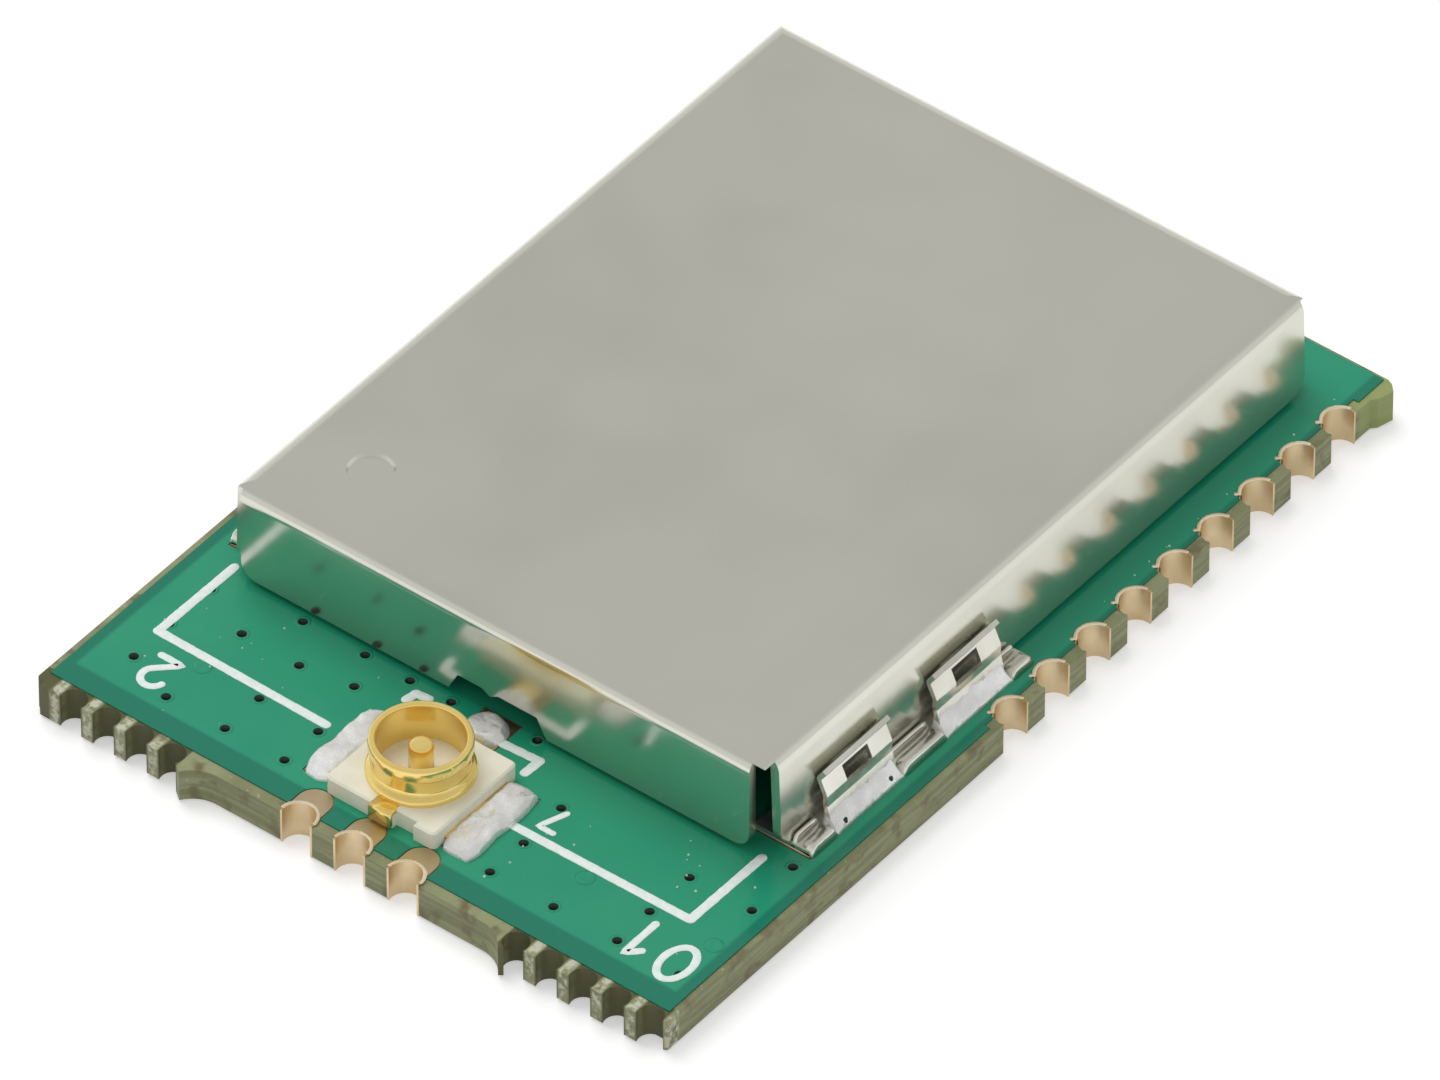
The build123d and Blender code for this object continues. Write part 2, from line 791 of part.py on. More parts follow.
# Crystal: a ceramic base with a metal lid
with BuildPart() as crystal_base:
    with Locations((crystal_x, crystal_y, part_seat)):
        Box(crystal_length, crystal_width, crystal_base_height, align=rest)
crystal_base.part.label = "crystal_base"
export_step(crystal_base.part, "parts/crystal_base.step")

with BuildPart() as crystal_lid:
    with Locations((crystal_x, crystal_y, part_seat + crystal_base_height)):
        lid_length = crystal_length - 2 * crystal_lid_margin
        lid_width = crystal_width - 2 * crystal_lid_margin
        Box(lid_length, lid_width, crystal_lid_height, align=rest)
crystal_lid.part.label = "crystal_lid"
export_step(crystal_lid.part, "parts/crystal_lid.step")

# Chip parts: a matching chain from the chip to the receptacle with shunt capacitors beside it,
# bypass capacitors by the chip, load capacitors by the crystal and bias resistors behind
chain_places = [(tab_offset, chain_start - k * chain_pitch, 90) for k in range(chain_count)]
shunt_places = [(tab_offset - shunt_offset, y - chain_pitch / 2, 0) for _, y, _ in chain_places]
bypass_start = chip_y - (bypass_count - 1) / 2 * bypass_pitch
bypass_places = [(chip_x + bypass_offset, bypass_start + k * bypass_pitch, 0) for k in range(bypass_count)]
load_y = crystal_y + crystal_width / 2 + load_gap
load_places = [(crystal_x + side * crystal_length / 4, load_y, 0) for side in (-1, 1)]
bias_places = [(bias_x + k * bias_pitch, bias_y, 90) for k in range(bias_count)]
capacitor_places = shunt_places + bypass_places + load_places


def chip_part(places, height):
    """Bodies and end terminals of small chip parts that lie at the places, each x, y and turn."""
    spots = [Location((x, y, part_seat), (0, 0, turn)) for x, y, turn in places]
    end = (part_length - terminal_length) / 2
    with BuildPart() as bodies:
        with Locations(*spots):
            Box(part_length - 2 * terminal_length, part_width, height, align=rest)
    with BuildPart() as terminals:
        with Locations(*spots):
            with GridLocations(2 * end, 1, 2, 1):
                Box(terminal_length, part_width, height, align=rest)
    return bodies.part, terminals.part


for kind, places, height in (
    ("capacitor", capacitor_places, capacitor_height),
    ("inductor", chain_places, inductor_height),
    ("resistor", bias_places, resistor_height),
):
    bodies, terminals = chip_part(places, height)
    bodies.label = kind + "_bodies"
    terminals.label = kind + "_terminals"
    export_step(bodies, "parts/" + kind + "_bodies.step")
    export_step(terminals, "parts/" + kind + "_terminals.step")

# Solder lands between those parts and the board
with BuildPart() as component_solder:
    all_spots = [
        Location((x, y, board_thickness), (0, 0, turn))
        for x, y, turn in capacitor_places + chain_places + bias_places
    ]
    with Locations(*all_spots):
        with GridLocations(part_length - terminal_length, 1, 2, 1):
            Box(terminal_length + land_margin, part_width + land_margin, land_height, align=rest)
    with Locations((crystal_x, crystal_y, board_thickness)):
        with GridLocations(crystal_length - crystal_pad_length, crystal_width - crystal_pad_width, 2, 2):
            Box(crystal_pad_length, crystal_pad_width, land_height, align=rest)
component_solder.part.label = "component_solder"
export_step(component_solder.part, "parts/component_solder.step")
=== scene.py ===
"""Looks for the radio module: camera, light, procedural materials and fine pieces around the CAD frame."""

import json
import math
import random

import bmesh
import bpy
from mathutils import Matrix, Vector, noise


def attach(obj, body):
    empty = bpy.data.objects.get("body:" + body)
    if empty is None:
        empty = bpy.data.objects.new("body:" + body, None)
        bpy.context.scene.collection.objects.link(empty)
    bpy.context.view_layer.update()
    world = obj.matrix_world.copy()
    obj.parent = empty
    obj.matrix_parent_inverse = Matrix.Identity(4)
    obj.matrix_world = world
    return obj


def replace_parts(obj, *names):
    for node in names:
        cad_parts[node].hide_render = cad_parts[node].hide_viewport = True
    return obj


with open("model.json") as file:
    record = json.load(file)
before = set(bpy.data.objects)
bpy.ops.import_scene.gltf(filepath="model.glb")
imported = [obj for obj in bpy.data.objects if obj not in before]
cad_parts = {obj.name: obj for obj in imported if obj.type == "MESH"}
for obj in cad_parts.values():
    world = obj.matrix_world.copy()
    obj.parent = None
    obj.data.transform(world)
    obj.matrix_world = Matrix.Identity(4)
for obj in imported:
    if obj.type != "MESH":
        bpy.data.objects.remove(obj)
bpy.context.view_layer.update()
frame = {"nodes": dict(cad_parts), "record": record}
NODES = frame["nodes"]
MM = 0.001

# Camera, fitted to the board's corners and the can's edges in the photograph
IMAGE_WIDTH, IMAGE_HEIGHT = 1440, 1080
AZIMUTH = math.radians(38.1644)
ELEVATION = math.radians(42.9384)
DISTANCE = 431.3001
PIXELS_PER_MM = 53.0373
CENTRE_X, CENTRE_Y = 718.712, 558.2141
SENSOR = 36.0

# Height of the board's upper face, which the fine pieces stand on, in mm
BOARD_TOP = 0.8


def linear(red, green, blue):
    """Linear colour of an 8-bit sRGB one."""
    out = []
    for value in (red, green, blue):
        c = value / 255
        out.append(c / 12.92 if c <= 0.04045 else ((c + 0.055) / 1.055) ** 2.4)
    return (*out, 1.0)


# Places of the colour sockets on a Mix node
MIX_COLOUR_A, MIX_COLOUR_B, MIX_RESULT = 6, 7, 2


class Shader:
    """A node material with a Principled surface and a few helpers to build its inputs."""

    def __init__(self, name, **sockets):
        self.mat = bpy.data.materials.new(name)
        self.mat.use_nodes = True
        self.tree = self.mat.node_tree
        self.tree.nodes.clear()
        self.out = self.add("ShaderNodeOutputMaterial")
        self.bsdf = self.add("ShaderNodeBsdfPrincipled")
        self.link(self.bsdf, "BSDF", self.out, "Surface")
        self.coord = self.add("ShaderNodeTexCoord")
        for key, value in sockets.items():
            self.bsdf.inputs[key.replace("_", " ")].default_value = value

    def add(self, kind, **props):
        """A node of this kind with these properties."""
        node = self.tree.nodes.new(kind)
        for key, value in props.items():
            setattr(node, key, value)
        return node

    def link(self, a, out, b, into):
        """Joins one node's output to another's input, both by name."""
        self.tree.links.new(a.outputs[out], b.inputs[into])

    def place(self, scale=(1, 1, 1)):
        """Object coordinates in mm, stretched by scale."""
        node = self.add("ShaderNodeMapping")
        node.inputs["Scale"].default_value = [s / MM for s in scale]
        self.link(self.coord, "Object", node, "Vector")
        return node

    def noise(self, size, detail=3.0, rough=0.55, stretch=(1, 1, 1)):
        """Noise whose grains are about size mm."""
        node = self.add("ShaderNodeTexNoise")
        node.inputs["Scale"].default_value = 1 / size
        node.inputs["Detail"].default_value = detail
        node.inputs["Roughness"].default_value = rough
        self.link(self.place(stretch), "Vector", node, "Vector")
        return node.outputs["Fac"]

    def cells(self, size):
        """Distance from the middles of cells about size mm across."""
        node = self.add("ShaderNodeTexVoronoi", feature="F1")
        node.inputs["Scale"].default_value = 1 / size
        self.link(self.place(), "Vector", node, "Vector")
        return node.outputs["Distance"]

    def axis(self, name):
        """One coordinate in mm."""
        node = self.add("ShaderNodeSeparateXYZ")
        self.link(self.place(), "Vector", node, "Vector")
        return node.outputs[name]

    def step(self, value, low, high, start=0.0, end=1.0):
        """Smooth step of value between low and high."""
        node = self.add("ShaderNodeMapRange", interpolation_type="SMOOTHSTEP")
        self.tree.links.new(value, node.inputs["Value"])
        node.inputs["From Min"].default_value = low
        node.inputs["From Max"].default_value = high
        node.inputs["To Min"].default_value = start
        node.inputs["To Max"].default_value = end
        return node.outputs["Result"]

    def math(self, operation, a, b=None):
        """A sum on one or two values, each a number or a socket."""
        node = self.add("ShaderNodeMath", operation=operation)
        for value, socket in ((a, 0), (b, 1)):
            if value is None:
                continue
            if isinstance(value, (int, float)):
                node.inputs[socket].default_value = value
            else:
                self.tree.links.new(value, node.inputs[socket])
        return node.outputs["Value"]

    def mix(self, factor, a, b):
        """Colour between a and b, each a colour or a socket; factor is a socket."""
        node = self.add("ShaderNodeMix", data_type="RGBA")
        self.tree.links.new(factor, node.inputs["Factor"])
        for value, socket in ((a, MIX_COLOUR_A), (b, MIX_COLOUR_B)):
            if isinstance(value, tuple):
                node.inputs[socket].default_value = value
            else:
                self.tree.links.new(value, node.inputs[socket])
        return node.outputs[MIX_RESULT]

    def colour(self, socket):
        """The surface's colour comes from this socket."""
        self.tree.links.new(socket, self.bsdf.inputs["Base Color"])

    def rough(self, socket):
        """The surface's roughness comes from this socket."""
        self.tree.links.new(socket, self.bsdf.inputs["Roughness"])

    def bump(self, height, depth):
        """Height in 0..1 over depth mm, added to the bumps before it."""
        node = self.add("ShaderNodeBump")
        node.inputs["Strength"].default_value = 1.0
        node.inputs["Distance"].default_value = depth * MM
        self.tree.links.new(height, node.inputs["Height"])
        if self.bsdf.inputs["Normal"].is_linked:
            before = self.bsdf.inputs["Normal"].links[0].from_socket
            self.tree.links.new(before, node.inputs["Normal"])
        self.link(node, "Normal", self.bsdf, "Normal")


# Where the mask lies on the copper pour, in mm: beyond these lines it is darker
POUR_FRONT, POUR_SIDE, POUR_BLUR = -10.32, 7.1, 0.1


def solder_mask():
    """Green lacquer: lighter over the copper pour, darker beyond it, with specks of dust."""
    s = Shader("solder_mask", Roughness=0.26, IOR=1.45)
    pour, pour_light, bare, dust = (
        linear(32, 152, 118),
        linear(42, 158, 120),
        linear(20, 126, 100),
        linear(170, 205, 185),
    )
    inside_y = s.step(s.axis("Y"), POUR_FRONT - POUR_BLUR, POUR_FRONT)
    inside_x = s.step(s.math("ABSOLUTE", s.axis("X")), POUR_SIDE + POUR_BLUR, POUR_SIDE)
    zone = s.math("MULTIPLY", inside_y, inside_x)
    cloud = s.step(s.noise(2.6, 2.0), 0.3, 0.7)
    green = s.mix(zone, bare, s.mix(cloud, pour, pour_light))
    speck = s.step(s.cells(0.62), 0.035, 0.02)
    kept = s.step(s.noise(0.8, 1.0), 0.6, 0.64)
    green = s.mix(s.math("MULTIPLY", speck, kept), green, dust)
    s.colour(green)
    s.rough(s.step(s.noise(0.5, 3.0), 0.2, 0.8, 0.16, 0.28))
    s.bump(s.noise(0.9, 2.0), 0.012)
    s.bump(s.noise(0.12, 2.0), 0.0016)
    return s.mat


# The rows of break-away bites: first middle and direction, and their pitch, in mm
BITE_ROWS = ((3.99, 1), (-4.2, -1))
BITE_PITCH = 0.79
BITE_SHIFT = 10 * BITE_PITCH  # whole pitches, which keep the distance along a row positive

# Zones on the laminate, each as the two ends of a smooth step, in mm
BITE_START, BITE_FRONT = (-0.3, -0.26), (-10.7, -10.75)  # along a row, and in y
# The first of these two zones is where shade is painted into the hollow of each bite
BITE_PAINTED_SHADE, BITE_CUSP = (0.3, 0.24), (0.27, 0.33)  # from a bite's middle
CORNER_X, CORNER_Y = (7.0, 7.2), (10.0, 10.2)
CORNER_SHARE = 0.75


def laminate():
    """Cut glass laminate: olive, layered, with pale fibres, painted shade in the bites, pale cusps and a greener far
    corner.
    """
    s = Shader("laminate", Roughness=0.62, IOR=1.52)
    dark, light, fibre, stain = (
        linear(130, 134, 96),
        linear(156, 160, 120),
        linear(186, 188, 160),
        linear(118, 112, 80),
    )
    # The first colour is painted shade for the bites; the second is pale torn fibre at the cusps
    bite_painted_shade, torn, far = linear(92, 92, 58), linear(206, 206, 184), linear(158, 172, 104)
    layers = s.noise(0.1, 3.0, 0.6, stretch=(0.05, 0.05, 1.0))
    grain = s.noise(0.06, 3.0, 0.7, stretch=(0.4, 0.4, 1.0))
    base = s.mix(s.step(layers, 0.35, 0.65), dark, light)
    base = s.mix(s.step(grain, 0.6, 0.75), base, fibre)
    base = s.mix(s.step(s.noise(0.5, 2.0), 0.52, 0.72), base, stain)
    x, y = s.axis("X"), s.axis("Y")
    for start, sign in BITE_ROWS:
        along = s.math("MULTIPLY", s.math("SUBTRACT", x, start), sign)
        inside = s.math("MULTIPLY", s.step(along, *BITE_START), s.step(y, *BITE_FRONT))
        away = s.math("PINGPONG", s.math("ADD", along, BITE_SHIFT), BITE_PITCH / 2)
        # Painted shade: the laminate is darker in the hollow of each bite
        base = s.mix(s.math("MULTIPLY", inside, s.step(away, *BITE_PAINTED_SHADE)), base, bite_painted_shade)
        lump = s.math("MULTIPLY", s.step(away, *BITE_CUSP), s.step(s.noise(0.14, 3.0), 0.4, 0.6))
        base = s.mix(s.math("MULTIPLY", inside, lump), base, torn)
    corner = s.math("MULTIPLY", s.step(x, *CORNER_X), s.step(y, *CORNER_Y))
    base = s.mix(s.math("MULTIPLY", corner, CORNER_SHARE), base, far)
    s.colour(base)
    s.bump(layers, 0.012)
    s.bump(grain, 0.012)
    return s.mat


def metal(name, pale, dark, grain, low, high, depth, metallic=1.0):
    """Metal whose tone and gloss wander: grain in mm, roughness from low to high, bumps depth mm high."""
    s = Shader(name, Metallic=metallic)
    cloud = s.noise(grain * 4, 2.0)
    s.colour(s.mix(s.step(cloud, 0.3, 0.7), dark, pale))
    s.rough(s.step(s.noise(grain, 3.0), 0.25, 0.75, low, high))
    s.bump(s.noise(grain, 3.0), depth)
    return s.mat


def plain(name, pale, dark, size, low, high, depth, **sockets):
    """Plastic, ceramic or ink with fine variation: size in mm, roughness from low to high, bumps depth mm high."""
    s = Shader(name, **sockets)
    s.colour(s.mix(s.step(s.noise(size, 3.0), 0.3, 0.7), dark, pale))
    s.rough(s.step(s.noise(size * 0.5, 2.0), 0.3, 0.7, low, high))
    s.bump(s.noise(size * 0.4, 3.0), depth)
    return s.mat


# By the record's material slots: pale and dark tone, size of the grain, lowest and highest roughness, depth of the
# bumps and, for some metals, how metallic they are
MATERIALS = {
    "solder_mask": solder_mask(),
    "laminate": laminate(),
    "plated_copper": metal("plated_copper", linear(222, 202, 166), linear(202, 181, 142), 0.2, 0.34, 0.5, 0.004),
    "ink": plain("ink", linear(250, 255, 253), linear(234, 248, 243), 0.12, 0.5, 0.7, 0.003),
    "can_metal": metal("can_metal", linear(220, 220, 208), linear(212, 212, 200), 1.2, 0.15, 0.21, 0.004, 0.94),
    "clip_metal": metal("clip_metal", linear(238, 237, 228), linear(218, 216, 204), 0.3, 0.14, 0.28, 0.006, 0.82),
    "solder": metal("solder", linear(255, 255, 253), linear(232, 231, 230), 0.2, 0.14, 0.32, 0.02, 0.42),
    "gold": metal("gold", linear(255, 230, 146), linear(252, 220, 130), 0.3, 0.1, 0.18, 0.001, 0.76),
    "housing": plain("housing", linear(246, 243, 226), linear(238, 235, 214), 0.5, 0.38, 0.5, 0.002, IOR=1.5),
    "chip_body": plain("chip_body", linear(44, 44, 46), linear(34, 34, 36), 0.05, 0.5, 0.7, 0.004),
    "chip_leads": metal("chip_leads", linear(205, 204, 200), linear(188, 187, 183), 0.1, 0.25, 0.4, 0.002),
    "ceramic": plain("ceramic", linear(212, 206, 192), linear(198, 191, 176), 0.1, 0.5, 0.65, 0.003),
    "capacitor_ceramic": plain("capacitor_ceramic", linear(168, 132, 98), linear(150, 114, 82), 0.1, 0.4, 0.55, 0.003),
    "inductor_ceramic": plain("inductor_ceramic", linear(206, 210, 214), linear(186, 192, 198), 0.1, 0.3, 0.5, 0.003),
    "resistor_film": plain("resistor_film", linear(30, 31, 34), linear(22, 23, 26), 0.1, 0.25, 0.4, 0.002),
    "lid_metal": metal("lid_metal", linear(205, 202, 190), linear(190, 186, 172), 0.2, 0.2, 0.35, 0.002),
}

# Painted shade for the insides of the vias and the clips' relief holes, rolled copper coloured lighter than the
# plating as a painted highlight, and dust
PAINTED_SHADE_WELL = plain("via_well_painted_shade", linear(26, 46, 34), linear(12, 26, 18), 0.05, 0.3, 0.5, 0.003)
LIP_METAL_PAINTED_HIGHLIGHT = metal("copper_lip_painted_highlight", linear(255, 242, 214), linear(244, 222, 184), 0.12, 0.18, 0.3, 0.006, 0.7)
SPECK = plain("speck", linear(206, 232, 214), linear(170, 206, 184), 0.05, 0.3, 0.5, 0.002)


def dress(obj, mat):
    """obj shows only this material."""
    obj.data.materials.clear()
    obj.data.materials.append(mat)


for row in frame["record"]["subparts"]:
    for slot in NODES[row["node"]].material_slots:
        slot.material = MATERIALS[row["material_slot"]]


class Builder:
    """Collects vertices and faces of several shapes into one piece."""

    def __init__(self):
        self.verts = []
        self.faces = []

    def rings(self, rings, cap_start=False, cap_end=False):
        """Quads between closed rings of equal length."""
        base = len(self.verts)
        count = len(rings[0])
        for ring in rings:
            self.verts.extend(ring)
        for k in range(len(rings) - 1):
            for i in range(count):
                j = (i + 1) % count
                a, b = base + k * count, base + (k + 1) * count
                self.faces.append((a + i, a + j, b + j, b + i))
        if cap_start:
            self.faces.append(tuple(base + i for i in reversed(range(count))))
        if cap_end:
            last = base + (len(rings) - 1) * count
            self.faces.append(tuple(last + i for i in range(count)))


def mesh_object(name, builder):
    """An object from a builder's points in mm, with its faces turned outwards."""
    mesh = bpy.data.meshes.new(name)
    mesh.from_pydata([tuple(c * MM for c in v) for v in builder.verts], [], builder.faces)
    mesh.validate()
    bm = bmesh.new()
    bm.from_mesh(mesh)
    bmesh.ops.recalc_face_normals(bm, faces=bm.faces)
    bm.to_mesh(mesh)
    bm.free()
    obj = bpy.data.objects.new(name, mesh)
    bpy.context.scene.collection.objects.link(obj)
    return obj


def make_piece(name, builder, slot, mat=None):
    """A smooth piece that rides on the module, in mat or the slot's own material."""
    obj = mesh_object(name, builder)
    dress(obj, mat or MATERIALS[slot])
    for polygon in obj.data.polygons:
        polygon.use_smooth = True
    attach(obj, "root")
    return obj


def lathe(builder, profile, centre, sides, closed=True):
    """Turns (radius, z) points about a vertical axis. A closed profile is a ring with a bore."""
    rings = []
    points = profile + profile[:1] if closed else profile
    for radius, z in points:
        ring = []
        for i in range(sides):
            a = 2 * math.pi * i / sides
            ring.append((centre[0] + radius * math.cos(a), centre[1] + radius * math.sin(a), z))
        rings.append(ring)
    builder.rings(rings, cap_start=not closed and profile[0][0] > 0, cap_end=not closed and profile[-1][0] > 0)


def box(builder, low, high):
    """A plain block between two corners, part of a larger piece."""
    (x0, y0, z0), (x1, y1, z1) = low, high
    rings = [[(x0, y0, z), (x1, y0, z), (x1, y1, z), (x0, y1, z)] for z in (z0, z1)]
    builder.rings(rings, cap_start=True, cap_end=True)


def strap(builder, section, low, high):
    """A bent strip: a closed (y, z) section drawn from low to high along x."""
    rings = [[(x, y, z) for y, z in section] for x in (low, high)]
    builder.rings(rings, cap_start=True, cap_end=True)


ROUNDING = 1e-9  # slack for the last point of a line


def resample(points, spacing, closed=False):
    """Points at equal spacing along a polyline."""
    pts = [Vector(p) for p in points]
    if closed:
        pts.append(pts[0])
    lengths = [(b - a).length for a, b in zip(pts, pts[1:])]
    total = sum(lengths)
    count = max(2, round(total / spacing))
    out = []
    for k in range(count if closed else count + 1):
        at = total * k / count
        for (a, b), length in zip(zip(pts, pts[1:]), lengths):
            if at <= length + ROUNDING:
                out.append(a.lerp(b, min(1, at / length)))
                break
            at -= length
    return out


# Strokes: spacing of their sections, steps of a round end, and a section as shares of half width and height
STROKE_SPACING = 0.07
CAP_STEPS = 6
CAP_LEAST = 0.02  # share of the width that is left at a tip
UNEVEN = 0.05  # share by which the width wanders
STROKE_SECTION = ((-1, 0), (-1, 0.5), (-0.88, 1), (0.88, 1), (1, 0.5), (1, 0))


def stroke(builder, points, width, base, height, seed, closed=False):
    """A flat line with round ends and slightly uneven sides, along points in mm."""
    rng = random.Random(seed)
    line = resample(points, STROKE_SPACING, closed)
    count = len(line)
    half = width / 2
    sections = []

    def tangent(i):
        before = line[(i - 1) % count] if closed or i else line[0]
        after = line[(i + 1) % count] if closed or i < count - 1 else line[-1]
        return (after - before).normalized()

    for i, p in enumerate(line):
        sections.append((p, tangent(i), half * (1 + rng.uniform(-UNEVEN, UNEVEN))))
    if not closed:
        first, last = sections[0], sections[-1]
        head, tail = [], []
        for k in range(1, CAP_STEPS + 1):
            a = math.pi / 2 * k / CAP_STEPS
            reach, shrink = half * math.sin(a), max(CAP_LEAST, math.cos(a))
            head.append((first[0] - first[1] * reach, first[1], half * shrink))
            tail.append((last[0] + last[1] * reach, last[1], half * shrink))
        sections = list(reversed(head)) + sections + tail
    rings = []
    for p, t, w in sections:
        n = Vector((-t.y, t.x))
        ring = []
        for across, up in STROKE_SECTION:
            q = p + n * (w * across)
            ring.append((q.x, q.y, base + height * up))
        rings.append(ring)
    if closed:
        rings.append(rings[0])
    builder.rings(rings, cap_start=not closed, cap_end=not closed)


def arc(cx, cy, rx, ry, start, end, steps=14):
    """Points on an ellipse, angles in degrees."""
    out = []
    for k in range(steps + 1):
        a = math.radians(start + (end - start) * k / steps)
        out.append((cx + rx * math.cos(a), cy + ry * math.sin(a)))
    return out


# Silkscreen: lines and plain numbers, as strokes of ink
INK_WIDTH = 0.2
INK_HEIGHT = 0.015
INK_STEP = 0.0006  # every second line is this much higher, so that crossing lines share no face
INK_SEED = 100
RING_POINTS = 28

# Plain numerals on a 1 x 1.6 field: the points of the stroke, and whether it closes
DIGITS = {
    "0": (arc(0.5, 0.8, 0.5, 0.8, 0, 360 - 360 / RING_POINTS, RING_POINTS - 1), True),
    "1": ([(0.1, 1.2), (0.5, 1.6), (0.5, 0.0)], False),
    "2": (arc(0.5, 1.1, 0.48, 0.5, 165, -32) + [(0.05, 0.02), (1.0, 0.02)], False),
    "7": ([(0.0, 1.6), (0.95, 1.6), (0.35, 0.0)], False),
}

# Each numeral: its digit, the corner that its field starts at, its size, its width of line and its seed
NUMERALS = [
    ("2", (-5.5, -9.2), 0.52, 0.16, 200),
    ("1", (6.05, -9.2), 0.6, 0.16, 210),
    ("0", (7.0, -9.3), 0.6, 0.16, 220),
    ("7", (2.75, -7.9), 0.36, 0.13, 230),
]
INK_LINES = [
    [(-6.47, -6.5), (-6.49, -8.74)],
    [(-6.49, -8.74), (-2.41, -8.79)],
    [(2.05, -8.76), (6.18, -8.71)],
    [(6.18, -8.71), (6.20, -6.59)],
    [(0.50, -7.15), (1.34, -7.10)],
    [(1.34, -7.10), (1.32, -7.52)],
    [(-1.66, -7.33), (-1.62, -7.09)],
    [(-1.62, -7.09), (-1.34, -7.06)],
]
ink = Builder()
for index, line_points in enumerate(INK_LINES):
    stroke(ink, line_points, INK_WIDTH, BOARD_TOP, INK_HEIGHT + INK_STEP * (index % 2), INK_SEED + index)
for digit, corner, size, width, seed in NUMERALS:
    outline, closed = DIGITS[digit]
    placed = [(corner[0] - x * size, corner[1] - y * size) for x, y in outline]  # turned half round
    stroke(ink, placed, width, BOARD_TOP, INK_HEIGHT, seed, closed)
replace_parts(make_piece("silkscreen_ink", ink, "ink"), "silkscreen_lines")


# Vias: holes through mask and laminate, each with a plated barrel coloured dark as painted shade and a slightly raised
# rim
VIA_RADIUS = 0.1
VIA_SIDES = 24
VIA_PLATING = 0.015
DRILL_REACH, DRILL_OVER = 0.3, 0.5  # how far the drill reaches past the board, below and above
WELD = 1e-7  # points of a CAD mesh that are nearer than this are one, in metres
VIAS = [
    (-6.44, -7.24), (-6.45, -8.46), (-6.41, -9.56), (-5.24, -10.04), (-5.21, -7.83), (-3.83, -10.03),
    (-3.84, -9.0), (-3.82, -7.84), (-2.42, -10.01), (-2.41, -9.02), (-2.65, -7.65), (-4.52, -6.86),
    (-3.03, -6.85), (-1.93, -6.88), (-0.96, -6.86), (0.95, -6.68), (2.48, -9.01), (2.47, -10.0),
    (2.44, -7.84), (3.97, -10.0), (5.47, -7.83), (5.45, -9.0), (5.46, -9.98), (6.92, -9.98),
    (6.92, -7.81), (6.80, -6.43),
]  # fmt: skip
TENTED_VIAS = [(-5.22, -8.98), (3.96, -9.03), (6.95, -8.98)]

# Sections of a barrel, of an open via's rim and of a lacquered via's dome, as (radius, z)
BARREL_LOW, BARREL_HIGH = 0.002, 0.798
BARREL_PROFILE = [
    (VIA_RADIUS, BARREL_LOW), (VIA_RADIUS, BARREL_HIGH),
    (VIA_RADIUS - VIA_PLATING, BARREL_HIGH), (VIA_RADIUS - VIA_PLATING, BARREL_LOW),
]  # fmt: skip
RIM_PROFILE = [(0.1, 0.79), (0.104, 0.806), (0.12, 0.808), (0.16, 0.8), (0.16, 0.79)]
DOME_PROFILE = [(0.0, 0.802), (0.05, 0.803), (0.09, 0.808), (0.12, 0.811), (0.15, 0.808), (0.2, 0.8), (0.2, 0.79)]


def pierced(node_name, new_name, slot, cutter, filler=None):
    """Puts a copy of a CAD node, filled by filler and then cut by cutter, in that node's place."""
    mesh = NODES[node_name].data.copy()
    bm = bmesh.new()
    bm.from_mesh(mesh)
    bmesh.ops.remove_doubles(bm, verts=bm.verts, dist=WELD)
    bm.to_mesh(mesh)
    bm.free()
    obj = bpy.data.objects.new(new_name, mesh)
    bpy.context.scene.collection.objects.link(obj)
    if filler:
        fill = obj.modifiers.new("filling", "BOOLEAN")
        fill.operation, fill.object, fill.solver = "UNION", filler, "EXACT"
    cut = obj.modifiers.new("holes", "BOOLEAN")
    cut.operation, cut.object, cut.solver = "DIFFERENCE", cutter, "EXACT"
    graph = bpy.context.evaluated_depsgraph_get()
    done = bpy.data.meshes.new_from_object(obj.evaluated_get(graph))
    obj.modifiers.clear()
    obj.data = done
    done.name = new_name
    dress(obj, MATERIALS[slot])
    for polygon in done.polygons:
        polygon.use_smooth = False
    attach(obj, "root")
    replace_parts(obj, node_name)


drill, barrels, rims = Builder(), Builder(), Builder()
for via in VIAS:
    lathe(drill, [(VIA_RADIUS, -DRILL_REACH), (VIA_RADIUS, BOARD_TOP + DRILL_OVER)], via, VIA_SIDES, closed=False)
    lathe(barrels, BARREL_PROFILE, via, VIA_SIDES)
    lathe(rims, RIM_PROFILE, via, VIA_SIDES)
for via in TENTED_VIAS:
    lathe(rims, DOME_PROFILE, via, VIA_SIDES, closed=False)
cutter = mesh_object("via_drill", drill)
pierced("solder_mask_top", "mask_top", "solder_mask", cutter)
pierced("solder_mask_bottom", "mask_bottom", "solder_mask", cutter)
pierced("pcb_laminate", "laminate_board", "laminate", cutter)
bpy.data.objects.remove(cutter)
# The barrels take the dark well material: painted shade inside the holes, in place of the copper's own colour
make_piece("via_barrels_painted_shade", barrels, "plated_copper", PAINTED_SHADE_WELL)
make_piece("via_rims", rims, "solder_mask")


